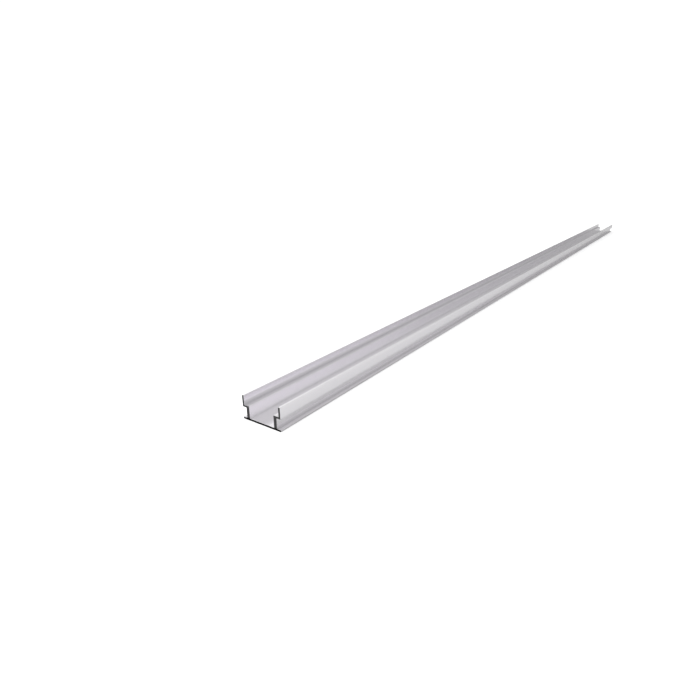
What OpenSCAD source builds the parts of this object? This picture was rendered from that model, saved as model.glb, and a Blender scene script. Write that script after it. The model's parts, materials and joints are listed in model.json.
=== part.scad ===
// Stepped aluminium extrusion that holds an LED strip on its floor and a cover on its shoulders.
// One bar, cut square at both ends. +X runs along the bar, +Y across it and +Z up.
// The origin is on the underside, at the middle of the bar's length and width.

/* [Bar] */
// Length of the bar
bar_length = 1000; // [300:50:3000]

/* [Outline] */
// Width of the base plate, which is also the width over the rims
width = 27; // [24:0.5:40]
// Height from the underside to the top of the rims
height = 13.9; // [11:0.1:20]

/* [Lower channel] */
// Thickness of the base plate
plate = 1.2; // [0.8:0.1:2]
// Thickness of each web between the plate and the shoulder
web = 2.1; // [1.2:0.1:3]
// Clear width between the two webs, where the LED strip lies
strip_width = 17.4; // [10:0.1:18]

/* [Shoulder and rim] */
// Height of the shoulders' top, where the cover rests
shoulder_height = 8.4; // [6:0.1:10]
// Thickness of each shoulder
shoulder = 1.2; // [0.8:0.1:1.6]
// Thickness of each rim
rim = 1.2; // [0.8:0.1:1.6]

/* [Edges] */
// Radius of the outside edges
edge_radius = 0.25; // [0.1:0.05:0.35]
// Radius of the inside corners
corner_radius = 0.3; // [0.1:0.05:0.5]

/* [Hidden] */
$fn = 48;
half_width = width / 2;
web_inner = strip_width / 2;
web_outer = web_inner + web;
rim_inner = half_width - rim;
shoulder_under = shoulder_height - shoulder;
overlap = 0.05; // how far a corner's sliver reaches past the corner's two sides

// What lies between a square corner at the origin and an arc tangent to its two sides, whose
// centre is towards +X and +Y. It is cut from an outside edge and added in an inside corner.
module corner_sliver(radius) {
    difference() {
        translate([-overlap, -overlap]) square(radius + overlap);
        translate([radius, radius]) circle(r = radius);
    }
}

// The sliver at a corner of the section, turned by quarter turns to the side the arc is on.
module sliver_at(corner, quarter_turns, radius) {
    translate(corner) rotate(90 * quarter_turns) corner_sliver(radius);
}

// Square-cornered half of the section: plate, web, shoulder and rim.
module half_blocks() {
    square([half_width, plate]);
    translate([web_inner, 0]) square([web, shoulder_height]);
    translate([web_inner, shoulder_under]) square([half_width - web_inner, shoulder]);
    translate([rim_inner, shoulder_under]) square([rim, height - shoulder_under]);
}

// Fillets in the four inside corners of the half section.
module half_fillets() {
    sliver_at([web_inner, plate], 1, corner_radius);
    sliver_at([web_outer, plate], 0, corner_radius);
    sliver_at([web_outer, shoulder_under], 3, corner_radius);
    sliver_at([rim_inner, shoulder_height], 1, corner_radius);
}

// What is rounded off the six outside edges of the half section.
module half_edges() {
    sliver_at([half_width, 0], 1, edge_radius);
    sliver_at([half_width, plate], 2, edge_radius);
    sliver_at([web_inner, shoulder_height], 3, edge_radius);
    sliver_at([half_width, shoulder_under], 1, edge_radius);
    sliver_at([half_width, height], 2, edge_radius);
    sliver_at([rim_inner, height], 3, edge_radius);
}

module half_section() {
    difference() {
        union() {
            half_blocks();
            half_fillets();
        }
        half_edges();
    }
}

module section() {
    half_section();
    mirror([1, 0]) half_section();
}

module profile() {
    color([0.78, 0.78, 0.8])
        translate([-bar_length / 2, 0, 0])
            rotate([90, 0, 90])
                linear_extrude(height = bar_length) section();
}

profile();
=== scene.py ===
# %% [markdown]
# # One metre of stepped aluminium extrusion
# This lesson dresses a bar that was pressed through a steel die, anodised and sawn to length.
# Such a bar is one piece of metal, so there is one piece to model and all the care goes into
# its surface: crisp but rounded edges, hair-fine lines along the bar, a satin skin and two
# bare sawn ends. The frame comes first, because it holds every size that the bar must keep.

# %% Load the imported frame
import json
import math

import bpy
import numpy as np
from mathutils import Matrix, Vector


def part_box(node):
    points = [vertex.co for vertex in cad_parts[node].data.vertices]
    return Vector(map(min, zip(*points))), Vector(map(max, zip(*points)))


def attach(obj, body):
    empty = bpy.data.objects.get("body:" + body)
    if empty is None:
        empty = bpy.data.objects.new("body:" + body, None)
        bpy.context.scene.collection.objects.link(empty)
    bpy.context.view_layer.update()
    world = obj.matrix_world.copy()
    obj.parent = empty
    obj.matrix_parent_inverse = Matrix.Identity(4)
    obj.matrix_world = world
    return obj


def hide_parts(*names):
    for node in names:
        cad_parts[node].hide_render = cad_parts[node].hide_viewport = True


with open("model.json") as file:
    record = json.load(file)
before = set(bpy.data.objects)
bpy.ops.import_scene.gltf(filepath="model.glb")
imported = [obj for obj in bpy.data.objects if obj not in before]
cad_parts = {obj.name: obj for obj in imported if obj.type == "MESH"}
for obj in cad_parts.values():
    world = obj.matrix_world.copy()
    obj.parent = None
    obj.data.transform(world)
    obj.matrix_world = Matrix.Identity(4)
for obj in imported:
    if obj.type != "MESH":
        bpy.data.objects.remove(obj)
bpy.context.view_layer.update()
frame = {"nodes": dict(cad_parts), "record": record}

print("nodes in the frame:", sorted(frame["nodes"]))

# %% [markdown]
# ## The sizes of the section
# The section is the shape of the hole in the die. Its sizes could be typed in again, but then
# they could drift from the real model. The frame's record already states them: the flat seats
# give two heights, and each hollow is a box that stays a tenth of a millimetre clear of the
# walls round it, so the walls are found from the hollows.

# %% Read the section's walls from the record
MM = 0.001
HOLLOW_CLEARANCE = 0.1 * MM

low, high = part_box("profile")
seats = {mount["name"]: mount["pos_m"] for mount in frame["record"]["mounts"]}
hollows = {hollow["name"]: hollow["box_m"] for hollow in frame["record"]["physics"]["openings"]}

bar_length = high.x - low.x
half_width = high.y
height = high.z
plate_top = seats["strip_floor"][2]
shoulder_top = seats["cover_seat_left"][2]
web_inner = hollows["strip_channel"][1][1] + HOLLOW_CLEARANCE
web_outer = hollows["clip_groove_left"][0][1] - HOLLOW_CLEARANCE
shoulder_under = hollows["clip_groove_left"][1][2] + HOLLOW_CLEARANCE
rim_inner = hollows["cover_seat"][1][1] + HOLLOW_CLEARANCE
print("plate %.2f mm, web %.2f mm, shoulder %.2f mm, rim %.2f mm" % (
    plate_top / MM,
    (web_outer - web_inner) / MM,
    (shoulder_top - shoulder_under) / MM,
    (half_width - rim_inner) / MM,
))

# %% [markdown]
# ## The corners of the section
# Walking round the section with the metal on the left, every corner is a quarter turn. A left
# turn is an outside edge and a right turn is an inside corner, so the turn alone says which
# radius a corner gets. Only the right half is listed, and the left half mirrors it.

# %% List the corners and find their turns
EDGE_RADIUS = 0.25 * MM
CORNER_RADIUS = 0.3 * MM

right_half = [
    (half_width, 0.0),
    (half_width, plate_top),
    (web_outer, plate_top),
    (web_outer, shoulder_under),
    (half_width, shoulder_under),
    (half_width, height),
    (rim_inner, height),
    (rim_inner, shoulder_top),
    (web_inner, shoulder_top),
    (web_inner, plate_top),
]
left_half = [(-y, z) for y, z in reversed(right_half)]
corners = np.array(right_half + left_half)

arriving = corners - np.roll(corners, 1, axis=0)
arriving /= np.linalg.norm(arriving, axis=1, keepdims=True)
leaving = np.roll(arriving, -1, axis=0)
turn = arriving[:, 0] * leaving[:, 1] - arriving[:, 1] * leaving[:, 0]
radii = np.where(turn > 0, EDGE_RADIUS, CORNER_RADIUS)
print("corners:", len(corners), "outside edges:", int((turn > 0).sum()))

# %% [markdown]
# ## The line round the section
# Blender could bevel a square section, but an exact arc costs no more and its points can carry
# facts with them. The line is laid as pieces: a quarter arc at each corner, then a straight
# wall cut into short steps, because the fine lines of the die need points to stand on.

# %% Lay the line round the section
ARC_STEPS = 8
WALL_STEP = 0.16 * MM


def section_line():
    """Points, outward normals and distances walked on the closed line round the section.

    On a corner's arc the point at angle a, from 0 to a quarter turn, is
    corner + radius * (leaving - arriving) + radius * (arriving * sin a - leaving * cos a),
    and the way the line runs there is leaving * sin a + arriving * cos a.
    A wall runs evenly from the end of one arc to the start of the next. The outward normal is
    the way the line runs, turned a quarter to the right.
    """
    angle = np.linspace(0, np.pi / 2, ARC_STEPS + 1)[:, None]
    places = []
    ways = []
    for corner, way_in, way_out, radius, following, next_radius in zip(
        corners,
        arriving,
        leaving,
        radii,
        np.roll(corners, -1, axis=0),
        np.roll(radii, -1),
    ):
        middle = corner + radius * (way_out - way_in)
        places.append(middle + radius * (way_in * np.sin(angle) - way_out * np.cos(angle)))
        ways.append(way_out * np.sin(angle) + way_in * np.cos(angle))
        wall_start = corner + radius * way_out
        wall_end = following - next_radius * way_out
        wall = np.linalg.norm(wall_end - wall_start)
        share = np.linspace(0, 1, math.ceil(wall / WALL_STEP) + 1)[1:-1, None]
        places.append(wall_start + share * (wall_end - wall_start))
        ways.append(np.repeat(way_out[None], len(share), axis=0))
    places = np.concatenate(places)
    ways = np.concatenate(ways)
    normals = np.stack([ways[:, 1], -ways[:, 0]], axis=1)
    steps = np.linalg.norm(np.roll(places, -1, axis=0) - places, axis=1)
    walked = np.concatenate([[0], np.cumsum(steps)])
    return places, normals, walked


line, line_normals, walked = section_line()
perimeter = walked[-1]
walked = walked[:-1]
line_count = len(line)
print("line: %d points, %.1f mm round" % (line_count, perimeter / MM))

# %% [markdown]
# ## Fine lines left by the die
# Hot metal slides over the die's bearing, and every tiny nick there draws a line as long as
# the bar. The lines are some microns deep, far too fine to see as steps, but they stretch the
# light across the bar. A bump map could fake them. Here the wider ones are real, because the
# mesh has points for them, and they only ever cut inwards, so the bar keeps its box.

# %% Draw the die's nicks
NICKS = 110
SHALLOWEST = 0.0006 * MM
DEEPEST = 0.0035 * MM
NARROWEST = 0.16 * MM
WIDEST = 0.55 * MM
FEWEST_SWELLS = 0.5
MOST_SWELLS = 3.5
SWELL = 0.25

rng = np.random.default_rng(27)
nick_places = rng.uniform(0, perimeter, NICKS)
# The cube makes most nicks shallow and a few deep.
nick_depths = SHALLOWEST + (DEEPEST - SHALLOWEST) * rng.random(NICKS) ** 3
nick_widths = rng.uniform(NARROWEST, WIDEST, NICKS)
nick_swells = rng.uniform(FEWEST_SWELLS, MOST_SWELLS, NICKS)
nick_phases = rng.uniform(0, 2 * np.pi, NICKS)


def die_lines(around, along):
    """Depth of the die lines, for a column of places along the bar and a row round it.

    A nick draws a soft groove, depth * exp(-(d / width)^2), with d the distance walked round
    the section from the nick, the short way. Along the bar the groove swells and fades as
    1 - swell + swell * cos(swells * full circle * share of the length + phase). The grooves
    add up.
    """
    apart = np.abs(around[:, None] - nick_places[None])
    apart = np.minimum(apart, perimeter - apart)
    grooves = nick_depths * np.exp(-((apart / nick_widths) ** 2))
    circle = 2 * np.pi * along[:, None] / bar_length
    swollen = 1 - SWELL + SWELL * np.cos(nick_swells * circle + nick_phases)
    return swollen @ grooves.T


print("deepest line: %.1f microns" % (nick_depths.max() / MM * 1000))

# %% [markdown]
# ## Stations along the bar
# A profile carried along a straight path needs few stations, but each sawn end wants two close
# together. The saw leaves a sharp burr, and one stroke of a file breaks it, so the last bit of
# the skin is pulled in to make a narrow slope round each end.

# %% Place the stations
BROKEN_EDGE = 0.03 * MM
STATION_STEP = 25 * MM

between = np.linspace(
    low.x + BROKEN_EDGE,
    high.x - BROKEN_EDGE,
    round(bar_length / STATION_STEP) + 1,
)
stations = np.concatenate([[low.x], between, [high.x]])
pulled_in = np.zeros(len(stations))
pulled_in[[0, -1]] = BROKEN_EDGE
ring_count = len(stations)
print("stations:", ring_count)

# %% [markdown]
# ## The bar as one closed surface
# The frame's own bar is exact but bare: it has no die lines, no broken edges, no marks of
# wear or painted light and no map, and a frame mesh is never changed. So a new piece stands for
# it. The bar is a function of two parameters: which station, and how far round the section. All
# its points come out of one array sum. The two end faces close it, each a single flat face with
# the outline as its border.

# %% Carry the section along the bar
def bar_points():
    """A point for each station and each place on the line round the section.

    Across the bar it is the line's point, moved inwards along its normal by how far the
    station is pulled in and by the depth of the die lines there. Along the bar it is the
    station.
    """
    inwards = pulled_in[:, None] + die_lines(walked, stations)
    across = line[None] - inwards[:, :, None] * line_normals[None]
    along = np.broadcast_to(stations[:, None, None], (ring_count, line_count, 1))
    return np.concatenate([along, across], axis=2)


def bar_faces():
    """Four-sided faces between neighbouring stations, turned so that they face outwards."""
    ring = np.arange(ring_count - 1)[:, None] * line_count
    here = np.arange(line_count)[None]
    after = (here + 1) % line_count
    return np.stack(
        [ring + here, ring + after, ring + line_count + after, ring + line_count + here],
        axis=2,
    ).reshape(-1, 4)


points = bar_points()
side_faces = bar_faces()
near_face = np.arange(line_count)[::-1]
far_face = np.arange(line_count) + (ring_count - 1) * line_count
mesh = bpy.data.meshes.new("profile_bar")
mesh.from_pydata(
    points.reshape(-1, 3).tolist(),
    [],
    side_faces.tolist() + [near_face.tolist(), far_face.tolist()],
)
bar = bpy.data.objects.new("profile_bar", mesh)
bpy.context.scene.collection.objects.link(bar)
print("faces:", len(mesh.polygons))

# %% [markdown]
# ## Finishes on the faces
# One piece can wear several finishes. The sides wear the anodised skin, the broken edges are
# bright bare metal, and the two end faces show the saw. Edges that border two finishes stay
# sharp, so that the light changes there at once, as it does on a cut bar.

# %% Give each face its finish and each border a sharp edge
SKIN, BRIGHT, SAWN = 0, 1, 2

finish = np.full(len(mesh.polygons), SKIN)
band = np.arange(len(side_faces)) // line_count
finish[: len(side_faces)][(band == 0) | (band == ring_count - 2)] = BRIGHT
finish[-2:] = SAWN
mesh.polygons.foreach_set("material_index", finish)
mesh.polygons.foreach_set("use_smooth", finish != SAWN)

edge_ends = np.empty(len(mesh.edges) * 2, np.int32)
mesh.edges.foreach_get("vertices", edge_ends)
edge_rings = edge_ends.reshape(-1, 2) // line_count
on_border = np.isin(edge_rings, [0, 1, ring_count - 2, ring_count - 1]).all(axis=1)
along_ring = edge_rings[:, 0] == edge_rings[:, 1]
sharp = mesh.attributes.new("sharp_edge", "BOOLEAN", "EDGE")
sharp.data.foreach_set("value", on_border & along_ring)
print("sharp edges:", int((on_border & along_ring).sum()))

# %% [markdown]
# ## Edge wear, painted highlight and painted shade
# Anodised edges polish first: they meet other bars, the saw bench and every hand, and the same
# mark lightens them into a painted highlight. The inside corners get painted shade, which
# reaches farther out over a face that looks up: a little over the ledges of the plate, more
# over the shoulders. The channel's floor gets less of it. The outermost sides and the underside
# get painted shade that is darkest at the bottom and fades upwards. Each point gets two
# numbers, one for the wear and its painted highlight and one for the painted shade, and the
# finish reads them.

# %% Mark the outside edges and the inside corners
# How far the edge wear and its painted highlight reach from an outside edge.
WEAR_AND_HIGHLIGHT_REACH = 0.3 * MM
# Painted shade: its reach from the inside corners on walls, ledges and shoulders, its share
# outside and inside the channel, and the height where the painted shade at the bottom ends.
SHADE_REACH_ON_WALLS = 0.35 * MM
SHADE_REACH_ON_LEDGES = 2.3 * MM
SHADE_REACH_ON_SHOULDERS = 3.4 * MM
SHADE_OUTSIDE_CHANNEL = 0.8
SHADE_IN_CHANNEL = 0.3
BOTTOM_SHADE_TOP = 6.0 * MM


def nearness(kind, reach):
    """How near each place on the line is to the corners of one kind, from 0 to 1.

    It is exp(-(d / reach)^2), with d the shortest distance walked to the middle of such a
    corner's arc, the short way round the closed line.
    """
    arc_middles = np.array([
        walked[np.argmin(np.linalg.norm(line - corner, axis=1))]
        for corner in corners[kind]
    ])
    apart = np.abs(walked[:, None] - arc_middles[None])
    apart = np.minimum(apart, perimeter - apart).min(axis=1)
    return np.exp(-((apart / reach) ** 2))


def mark_points(name, round_line):
    """Gives every station the same values round the section, under this name."""
    marks = mesh.attributes.new(name, "FLOAT", "POINT")
    marks.data.foreach_set("value", np.tile(round_line, ring_count).astype(np.float32))
    print("%s: %.0f%% of the skin above a half" % (name, 100 * (round_line > 0.5).mean()))


def painted_shade_amount():
    """How much painted shade each place on the line gets, from 0 to 1: the most of three.

    The first is nearness to the inside corners outside the channel, times its share there.
    Its reach grows from that of a wall to that of a ledge or a shoulder as the place looks up.
    The second is the same for the two corners of the channel's floor, times its smaller share
    there. The third is painted shade on the underside and the bar's outermost sides only: it
    falls evenly from 1 at the underside to 0 at its top height.
    """
    looks_up = np.clip(line_normals[:, 1], 0, 1)
    farthest = np.where(line[:, 1] > shoulder_under, SHADE_REACH_ON_SHOULDERS, SHADE_REACH_ON_LEDGES)
    reach = SHADE_REACH_ON_WALLS + (farthest - SHADE_REACH_ON_WALLS) * looks_up
    in_channel = np.abs(corners[:, 0]) < (web_inner + web_outer) / 2
    corner_shade_outside = SHADE_OUTSIDE_CHANNEL * nearness((turn < 0) & ~in_channel, reach)
    corner_shade_inside = SHADE_IN_CHANNEL * nearness((turn < 0) & in_channel, reach)
    on_side = np.abs(line[:, 0]) > half_width - EDGE_RADIUS / 2
    outside = on_side | (line[:, 1] < plate_top / 2)
    bottom_shade = np.clip(1 - line[:, 1] / BOTTOM_SHADE_TOP, 0, 1) * outside
    return np.maximum.reduce([corner_shade_outside, corner_shade_inside, bottom_shade])


# The first mark is edge wear with a painted highlight on the outside edges.
mark_points("wear_and_highlight", nearness(turn > 0, WEAR_AND_HIGHLIGHT_REACH))
# The second mark is painted shade in the inside corners and at the bottom of the sides.
mark_points("painted_shade", painted_shade_amount())

# %% [markdown]
# ## Unrolling the skin
# A map for this bar is easy to lay by hand: slit the skin along one edge and unroll it, so the
# bar's length runs across the map and the way round the section runs up it. Blender's own
# unwrapping would cut it into forty slivers. The end faces go into the strip left over.

# %% Lay the map
SKIN_TOP = 0.86
MARGIN = 0.004
END_SCALE = 9.0
FAR_END_SHIFT = 0.5

length_share = (stations - low.x) / bar_length
round_share = np.append(walked, perimeter) / perimeter
station_of = np.arange(ring_count - 1)[:, None]
place_of = np.arange(line_count)[None]
corner_stations = np.stack(np.broadcast_arrays(
    station_of, station_of, station_of + 1, station_of + 1), axis=-1)
corner_places = np.stack(np.broadcast_arrays(
    place_of, place_of + 1, place_of + 1, place_of), axis=-1)
corner_stations = np.broadcast_to(corner_stations, (ring_count - 1, line_count, 4))
corner_places = np.broadcast_to(corner_places, (ring_count - 1, line_count, 4))
skin_map = np.stack([
    MARGIN + (1 - 2 * MARGIN) * length_share[corner_stations],
    MARGIN + (SKIN_TOP - MARGIN) * round_share[corner_places],
], axis=-1).reshape(-1, 2)
near_map = (line + [half_width, 0]) * END_SCALE + [2 * MARGIN, SKIN_TOP + MARGIN]
far_map = near_map + [FAR_END_SHIFT, 0]
bake_map = mesh.uv_layers.new(name="OFBake")
bake_map.uv.foreach_set(
    "vector",
    np.concatenate([skin_map, near_map[::-1], far_map]).astype(np.float32).ravel(),
)
print("map top: %.3f" % near_map[:, 1].max())

# %% [markdown]
# ## Short ways to build a finish
# Every finish below is a Principled shader fed by a few patterns. A pattern that follows the
# bar is noise whose coordinates are squeezed across the bar and stretched along it, so that
# each speckle becomes a long hair. Object coordinates do for this, because the finished piece
# sits at the origin and its own X runs along the bar.

# %% Start a finish and make a pattern
def new_finish(name):
    """A material with a Principled shader; gives the material, its nodes, links and shader."""
    material = bpy.data.materials.new(name)
    material.use_nodes = True
    nodes = material.node_tree.nodes
    return material, nodes, material.node_tree.links, nodes["Principled BSDF"]


def noise(nodes, links, scale, detail=2.0):
    """Noise on Object coordinates, where scale gives its speckles per metre along X, Y, Z."""
    place = nodes.new("ShaderNodeTexCoord")
    stretch = nodes.new("ShaderNodeMapping")
    stretch.inputs["Scale"].default_value = scale
    speckle = nodes.new("ShaderNodeTexNoise")
    speckle.inputs["Scale"].default_value = 1.0
    speckle.inputs["Detail"].default_value = detail
    links.new(place.outputs["Object"], stretch.inputs["Vector"])
    links.new(stretch.outputs["Vector"], speckle.inputs["Vector"])
    return speckle.outputs["Fac"]


def spread(nodes, links, value, low_out, high_out, low_in=0.3, high_in=0.7):
    """A value spread evenly from one range onto another, and held inside it."""
    node = nodes.new("ShaderNodeMapRange")
    node.inputs["From Min"].default_value = low_in
    node.inputs["From Max"].default_value = high_in
    node.inputs["To Min"].default_value = low_out
    node.inputs["To Max"].default_value = high_out
    links.new(value, node.inputs["Value"])
    return node.outputs["Result"]


print("patterns: noise, from stretched Object coordinates")

# %% [markdown]
# ## Putting patterns together
# A finish puts patterns together as plain values, for roughness and height, and as colours.
# A Math node adds or multiplies two values, and a Mix node mixes them in a fixed share.
# Colours take a Mix node as well, and there the share may change over the surface.

# %% Combine values and blend colours
def combine(nodes, links, operation, first, second):
    """Two values put together by a Math node; a plain number is set on the node itself."""
    node = nodes.new("ShaderNodeMath")
    node.operation = operation
    for socket, value in zip(node.inputs, (first, second)):
        if isinstance(value, (int, float)):
            socket.default_value = value
        else:
            links.new(value, socket)
    return node.outputs["Value"]


def mixed(nodes, links, first, second, share):
    """Two values mixed, with this plain share of the second."""
    node = nodes.new("ShaderNodeMix")
    node.inputs["Factor"].default_value = share
    links.new(first, node.inputs[2])
    links.new(second, node.inputs[3])
    return node.outputs[0]


def blend_colours(nodes, links, share, first, second):
    """A colour that goes from first to second as share goes from 0 to 1."""
    node = nodes.new("ShaderNodeMix")
    node.data_type = "RGBA"
    links.new(share, node.inputs["Factor"])
    for socket, colour in zip((node.inputs[6], node.inputs[7]), (first, second)):
        if isinstance(colour, tuple):
            socket.default_value = (*colour, 1.0)
        else:
            links.new(colour, socket)
    return node.outputs[2]


print("mixing: combine, mixed and blend_colours")

# %% [markdown]
# ## Reading the marks and raising a relief
# The marks of wear, painted highlight and painted shade are stored on the mesh by name, so a
# finish only asks for them. A relief too fine for the mesh is a bump: it turns the normal and
# leaves the surface where it is.

# %% Read a mark and raise bumps
def marked(nodes, name):
    """The value that the mesh holds at each point under this name."""
    node = nodes.new("ShaderNodeAttribute")
    node.attribute_name = name
    return node.outputs["Fac"]


def raise_bumps(nodes, links, shader, bump_height, distance, strength):
    """Feeds the shader a normal from a height of 0 to 1 that stands for a distance."""
    node = nodes.new("ShaderNodeBump")
    node.inputs["Distance"].default_value = distance
    node.inputs["Strength"].default_value = strength
    links.new(bump_height, node.inputs["Height"])
    links.new(node.outputs["Normal"], shader.inputs["Normal"])


print("marks on the mesh:", [name for name in ("wear_and_highlight", "painted_shade") if name in mesh.attributes])

# %% [markdown]
# ## The anodised skin
# Before anodising, the bar is etched in lye, which leaves a smooth satin skin with a faint
# tint. It reflects like metal, a little blurred, so each wall shows a soft picture of the wall
# across from it, and that is what tells the walls apart. A shader with some gloss over a grey
# paint would lose this, so it is a full metal. Hairs of slightly lighter and rougher metal run
# along the bar. Painted shade darkens the inside corners and the bottom and makes them rougher,
# and rubbing polishes the outside edges, which are also lightened into a painted highlight.

# %% Make the anodised skin
SKIN_LIGHT = (0.915, 0.900, 0.925)
SKIN_DARK = (0.865, 0.850, 0.877)
# The shaded skin colour is painted shade.
SKIN_SHADED = (0.52, 0.51, 0.53)
# The lightest skin colour is edge wear with a painted highlight.
SKIN_WORN_AND_HIGHLIT = (0.965, 0.952, 0.972)
HAIRS = (1.5, 2600.0, 2600.0)
BANDS = (1.2, 420.0, 420.0)
GRAIN = (7000.0, 9000.0, 9000.0)
BANDS_IN_STREAKS = 0.45
GRAIN_IN_RELIEF = 0.3
PAINTED_SHADE_COVERS = 0.72
WEAR_AND_HIGHLIGHT_SHOWS = 0.8
SMOOTHEST = 0.12
ROUGHEST = 0.18
RUBBING_POLISHES = -0.04
PAINTED_SHADE_ROUGHENS = 0.1
SKIN_RELIEF = 0.002 * MM
SKIN_RELIEF_SHOWS = 0.3


def anodised_skin():
    """Satin metal with lengthwise hairs and bands, painted shade, and edge wear with a painted
    highlight.
    """
    material, nodes, links, shader = new_finish("satin_anodising")
    hairs = noise(nodes, links, HAIRS, detail=3.0)
    bands = noise(nodes, links, BANDS)
    grain = noise(nodes, links, GRAIN)
    streaks = mixed(nodes, links, hairs, bands, BANDS_IN_STREAKS)
    painted_shade = marked(nodes, "painted_shade")
    wear_and_highlight = marked(nodes, "wear_and_highlight")

    lightness = spread(nodes, links, streaks, 0, 1)
    metal = blend_colours(nodes, links, lightness, SKIN_DARK, SKIN_LIGHT)
    # Painted shade: the skin darkens towards the shaded colour in the inside corners and at the
    # bottom.
    painted_shade_share = combine(nodes, links, "MULTIPLY", painted_shade, PAINTED_SHADE_COVERS)
    shaded = blend_colours(nodes, links, painted_shade_share, metal, SKIN_SHADED)
    # Edge wear with a painted highlight: the outside edges are lightened towards the lightest
    # skin colour.
    wear_and_highlight_share = combine(nodes, links, "MULTIPLY", wear_and_highlight, WEAR_AND_HIGHLIGHT_SHOWS)
    worn_and_highlit = blend_colours(nodes, links, wear_and_highlight_share, shaded, SKIN_WORN_AND_HIGHLIT)
    links.new(worn_and_highlit, shader.inputs["Base Color"])

    satin = spread(nodes, links, streaks, SMOOTHEST, ROUGHEST)
    polish = combine(nodes, links, "MULTIPLY", wear_and_highlight, RUBBING_POLISHES)
    polished = combine(nodes, links, "ADD", satin, polish)
    # Where painted shade is, the skin is also made rougher.
    shade_roughening = combine(nodes, links, "MULTIPLY", painted_shade, PAINTED_SHADE_ROUGHENS)
    links.new(combine(nodes, links, "ADD", polished, shade_roughening), shader.inputs["Roughness"])
    shader.inputs["Metallic"].default_value = 1.0
    relief = mixed(nodes, links, hairs, grain, GRAIN_IN_RELIEF)
    raise_bumps(nodes, links, shader, relief, SKIN_RELIEF, SKIN_RELIEF_SHOWS)
    return material


skin = anodised_skin()
print("skin made:", skin.name)

# %% [markdown]
# ## The sawn ends
# A cold saw drags its teeth across the metal in wide arcs. The cut is bare and coarser than the
# skin, and its colour is painted dark beside it, as painted shade on an end that faces away
# from the light. The arcs are rings round the saw's shaft, far below the bar, read off by a
# wave pattern centred there. The plate's cut is painted darkest, as painted shadow where the
# bar stands on the floor, and above the shoulders the thin rims' cut is painted darker than the
# webs.

# %% Make the sawn face
# The cut's colours are dark with painted shade; the darkest is painted shadow on the plate's
# cut, and above the shoulders the rims' cut is painted darker.
SAWN_SHADED_LIGHT = (0.12, 0.118, 0.122)
SAWN_SHADED_DARK = (0.048, 0.047, 0.049)
SAWN_PAINTED_SHADOW = (0.004, 0.004, 0.004)
PAINTED_SHADOW_FADES = (0.8 * plate_top, 1.4 * plate_top)
RIM_DARKENS = (0.95 * shoulder_top, 1.15 * shoulder_top)
RIM_CUT_SHARE = 0.3
SAW_SHAFT = Vector((0.0, 60 * MM, -110 * MM))
SAW_RINGS = 900.0
RINGS_WANDER = 1.5
WANDER_SIZE = 0.6
TORN_SPECKLES = (3000.0, 3000.0, 3000.0)
TORN_IN_MARKS = 0.4
SAWN_SMOOTHEST = 0.45
SAWN_ROUGHEST = 0.65
SAWN_RELIEF = 0.03 * MM
SAWN_RELIEF_SHOWS = 0.8


def saw_arcs(nodes, links, place):
    """Waves in rings round the saw's shaft, as seen along the bar, a little uneven."""
    centre = nodes.new("ShaderNodeMapping")
    centre.vector_type = "TEXTURE"
    centre.inputs["Location"].default_value = SAW_SHAFT
    rings = nodes.new("ShaderNodeTexWave")
    rings.wave_type = "RINGS"
    rings.rings_direction = "X"
    rings.inputs["Scale"].default_value = SAW_RINGS
    rings.inputs["Distortion"].default_value = RINGS_WANDER
    rings.inputs["Detail"].default_value = 2.0
    rings.inputs["Detail Scale"].default_value = WANDER_SIZE
    links.new(place, centre.inputs["Vector"])
    links.new(centre.outputs["Vector"], rings.inputs["Vector"])
    return rings.outputs["Fac"]


def sawn_face():
    """Bare metal with arcs of saw marks, painted dark as shade, darkest as painted shadow at
    the plate and darker on the rims.
    """
    material, nodes, links, shader = new_finish("sawn_aluminium")
    place = nodes.new("ShaderNodeTexCoord").outputs["Object"]
    torn = noise(nodes, links, TORN_SPECKLES, detail=4.0)
    marks = mixed(nodes, links, saw_arcs(nodes, links, place), torn, TORN_IN_MARKS)

    parts = nodes.new("ShaderNodeSeparateXYZ")
    links.new(place, parts.inputs["Vector"])
    # Painted shadow fades upwards from the plate's cut, and above the shoulders the rims' cut
    # is painted darker.
    above_painted_shadow = spread(nodes, links, parts.outputs["Z"], 0, 1, *PAINTED_SHADOW_FADES)
    below_rim = spread(nodes, links, parts.outputs["Z"], 1, RIM_CUT_SHARE, *RIM_DARKENS)
    cut_share = combine(nodes, links, "MULTIPLY", above_painted_shadow, below_rim)
    cut = blend_colours(nodes, links, marks, SAWN_SHADED_DARK, SAWN_SHADED_LIGHT)
    links.new(blend_colours(nodes, links, cut_share, SAWN_PAINTED_SHADOW, cut), shader.inputs["Base Color"])

    rough = spread(nodes, links, marks, SAWN_SMOOTHEST, SAWN_ROUGHEST)
    links.new(rough, shader.inputs["Roughness"])
    shader.inputs["Metallic"].default_value = 1.0
    raise_bumps(nodes, links, shader, marks, SAWN_RELIEF, SAWN_RELIEF_SHOWS)
    return material


sawn = sawn_face()
print("sawn face made:", sawn.name)

# %% [markdown]
# ## The filed edge
# The file leaves short strokes across the edge. Fresh from the file the metal is bright, so
# each end gets a fine light outline. It is too narrow for single strokes to be read, so a
# speckle a sixth of a millimetre wide round the edge stands for them.

# %% Make the broken edge and dress the bar
FILED_DARK = (0.80, 0.80, 0.81)
FILED_LIGHT = (0.93, 0.93, 0.93)
FILE_STROKES = (2000.0, 6000.0, 6000.0)
FILED_SMOOTHEST = 0.22
FILED_ROUGHEST = 0.38
FILED_RELIEF = 0.01 * MM
FILED_RELIEF_SHOWS = 0.5


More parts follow.
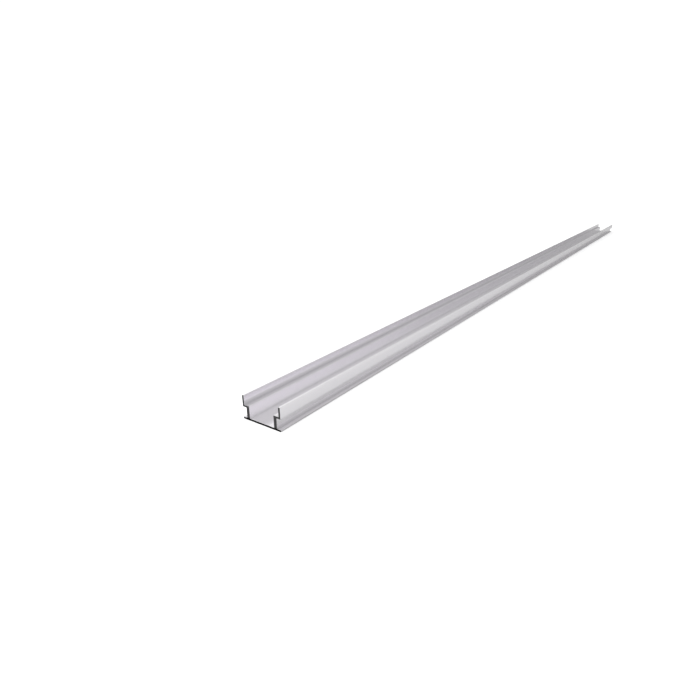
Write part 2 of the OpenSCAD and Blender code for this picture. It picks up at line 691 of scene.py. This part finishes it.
def broken_edge():
    """Bare bright metal with short strokes of a file."""
    material, nodes, links, shader = new_finish("filed_aluminium")
    strokes = noise(nodes, links, FILE_STROKES)
    filed = blend_colours(nodes, links, strokes, FILED_DARK, FILED_LIGHT)
    links.new(filed, shader.inputs["Base Color"])
    rough = spread(nodes, links, strokes, FILED_SMOOTHEST, FILED_ROUGHEST)
    links.new(rough, shader.inputs["Roughness"])
    shader.inputs["Metallic"].default_value = 1.0
    raise_bumps(nodes, links, shader, strokes, FILED_RELIEF, FILED_RELIEF_SHOWS)
    return material


for material in (skin, broken_edge(), sawn):
    mesh.materials.append(material)
print("finishes:", [material.name for material in mesh.materials])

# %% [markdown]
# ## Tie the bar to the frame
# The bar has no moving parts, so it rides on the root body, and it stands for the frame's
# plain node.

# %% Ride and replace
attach(bar, "root")
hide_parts("profile")
print("piece:", bar.name)

# %% [markdown]
# ## A pale floor
# Metal shows what is round it, so the room is half of the finish. A pale floor lights the
# bar's sides from below. Seen by the camera it also glows a little, as a floor that is lit for
# a plain white background does, but that glow doesn't reach the metal.

# %% Make the floor
FLOOR_REACH = 30.0
FLOOR_DROP = 0.02 * MM
FLOOR_COLOUR = (0.9, 0.9, 0.9, 1.0)
FLOOR_ROUGHNESS = 0.9
FLOOR_GLOW = 0.5
WHITE = (1.0, 1.0, 1.0, 1.0)


def pale_floor():
    """A flat square just under the bar, with a rough pale finish."""
    ends = FLOOR_REACH * np.array([[-1, -1], [1, -1], [1, 1], [-1, 1]])
    places = np.column_stack([ends, np.full(4, -FLOOR_DROP)])
    floor_mesh = bpy.data.meshes.new("floor")
    floor_mesh.from_pydata(places.tolist(), [], [(0, 1, 2, 3)])
    material, nodes, links, shader = new_finish("pale_floor")
    shader.inputs["Base Color"].default_value = FLOOR_COLOUR
    shader.inputs["Roughness"].default_value = FLOOR_ROUGHNESS
    shader.inputs["Emission Color"].default_value = WHITE
    ray = nodes.new("ShaderNodeLightPath")
    glow = combine(nodes, links, "MULTIPLY", ray.outputs["Is Camera Ray"], FLOOR_GLOW)
    links.new(glow, shader.inputs["Emission Strength"])
    floor_mesh.materials.append(material)
    floor_piece = bpy.data.objects.new("floor", floor_mesh)
    bpy.context.scene.collection.objects.link(floor_piece)
    return floor_piece


print("stage:", pale_floor().name)

# %% [markdown]
# ## A soft sky with broad glows
# A smooth metal under an even sky looks like flat grey card. Its faces part from one another
# when the sky is brighter on some sides. So the sky is an even grey with broad glows in it,
# strongest across the bar, and neither saw cut faces a strong one straight on.
#
# The even share, the strengths and the choice of sides weren't made by hand. A separate
# least-squares program fitted them to the tones of the metal in the photo.

# %% Make the sky
SKY_EVEN = 0.226
SKY_SEEN = 1.05
GLOW_TIGHTNESS = 5.0
GLOWS = [
    ("far", 0, 40, 0.166),
    ("far left", 60, 40, 0.582),
    ("near left", 120, 40, 0.347),
    ("far right", 300, 40, 0.051),
    ("low far left", 45, 12, 0.243),
    ("low near left", 135, 12, 0.74),
    ("low right", 270, 12, 0.236),
    ("low far right", 315, 12, 0.445),
    ("overhead", 0, 90, 0.181),
]


def towards(turn_degrees, climb_degrees):
    """The direction that far round from +X towards +Y, and that far above the horizon."""
    around = math.radians(turn_degrees)
    above = math.radians(climb_degrees)
    level = math.cos(above)
    return (level * math.cos(around), level * math.sin(around), math.sin(above))


def soft_sky():
    """A world as strong as its even share plus strength * cos(angle)^tightness of each glow.

    The camera sees an even white instead, because the sky is there for the metal's sake.
    """
    world = bpy.data.worlds.new("sky")
    bpy.context.scene.world = world
    world.use_nodes = True
    nodes = world.node_tree.nodes
    links = world.node_tree.links
    direction = nodes.new("ShaderNodeTexCoord").outputs["Generated"]
    light = SKY_EVEN
    for name, around, above, strength in GLOWS:
        facing = nodes.new("ShaderNodeVectorMath")
        facing.operation = "DOT_PRODUCT"
        facing.label = name
        facing.inputs[1].default_value = towards(around, above)
        links.new(direction, facing.inputs[0])
        ahead = combine(nodes, links, "MAXIMUM", facing.outputs["Value"], 0.0)
        narrowed = combine(nodes, links, "POWER", ahead, GLOW_TIGHTNESS)
        glow = combine(nodes, links, "MULTIPLY", narrowed, strength)
        light = combine(nodes, links, "ADD", light, glow)
    seen = nodes.new("ShaderNodeMix")
    links.new(nodes.new("ShaderNodeLightPath").outputs["Is Camera Ray"], seen.inputs["Factor"])
    links.new(light, seen.inputs[2])
    seen.inputs[3].default_value = SKY_SEEN
    background = nodes["Background"]
    background.inputs["Color"].default_value = WHITE
    links.new(seen.outputs[0], background.inputs["Strength"])


soft_sky()
bpy.context.scene.view_settings.view_transform = "Standard"
print("glows:", [name for name, *_ in GLOWS])

# %% [markdown]
# ## Softboxes over the near end
# Round softboxes hang half a metre or more from the near end. Light from a near lamp weakens
# as the bar runs away from it, and that fall gives the bar its depth. They are wide and dim,
# because smooth metal shows each lamp as a mirror would. The two that the channel's floor
# mirrors from above and from the far end are the widest. Each row gives a name, a place from
# the near end, a width in metres and a power in watts. The far left power was set.
# The others began as that same fit's, and the two widest were then made stronger.

# %% Hang the softboxes
LIT_PLACE = Vector((0.1, 0.0, 0.0))
SOFTBOXES = [
    ("overhead", Vector((0.0, 0.0, 0.7)), 1.3, 0.98),
    ("left", Vector((0.0, 0.5, 0.5)), 0.8, 0.63),
    ("far_left", Vector((0.42, 0.45, 0.33)), 0.8, 0.14),
    ("right", Vector((0.0, -0.5, 0.5)), 0.8, 0.31),
    ("front", Vector((-0.4, 0.0, 0.4)), 1.3, 1.35),
]

near_end = Vector((low.x, 0.0, 0.0))
lit_place = near_end + LIT_PLACE
for name, from_end, width, watts in SOFTBOXES:
    lamp = bpy.data.lights.new("softbox_" + name, "AREA")
    lamp.shape = "DISK"
    lamp.size = width
    lamp.energy = watts
    softbox = bpy.data.objects.new(lamp.name, lamp)
    softbox.location = near_end + from_end
    softbox.rotation_euler = (lit_place - softbox.location).to_track_quat("-Z", "Y").to_euler()
    bpy.context.scene.collection.objects.link(softbox)
    print("softbox", name, tuple(softbox.location))

# %% [markdown]
# ## The camera
# The bar is seen from beside its near end, a little above it, with a lens wide enough for the
# bar to shrink as it runs away. The camera's place is given from the middle of the near end's
# underside.

# %% Place the camera
CAMERA_FROM_END = Vector((-159.1, -169.3, 125.2)) * MM
CAMERA_TURN = math.radians(35.28)
CAMERA_TILT = math.radians(-20.19)
CAMERA_ROLL = math.radians(-0.48)
CAMERA_LENS = 25.26
SENSOR_WIDTH = 36.0
NEAREST_SEEN = 0.01
FARTHEST_SEEN = 100.0

camera_data = bpy.data.cameras.new("camera")
camera_data.lens = CAMERA_LENS
camera_data.sensor_width = SENSOR_WIDTH
camera_data.clip_start = NEAREST_SEEN
camera_data.clip_end = FARTHEST_SEEN
camera = bpy.data.objects.new("camera", camera_data)
camera.matrix_world = (
    Matrix.Translation(near_end + CAMERA_FROM_END)
    @ Matrix.Rotation(CAMERA_TURN - math.pi / 2, 4, "Z")
    @ Matrix.Rotation(CAMERA_TILT + math.pi / 2, 4, "X")
    @ Matrix.Rotation(CAMERA_ROLL, 4, "Z")
)
bpy.context.scene.collection.objects.link(camera)
bpy.context.scene.camera = camera
print("camera:", [round(value, 4) for value in camera.matrix_world.translation])
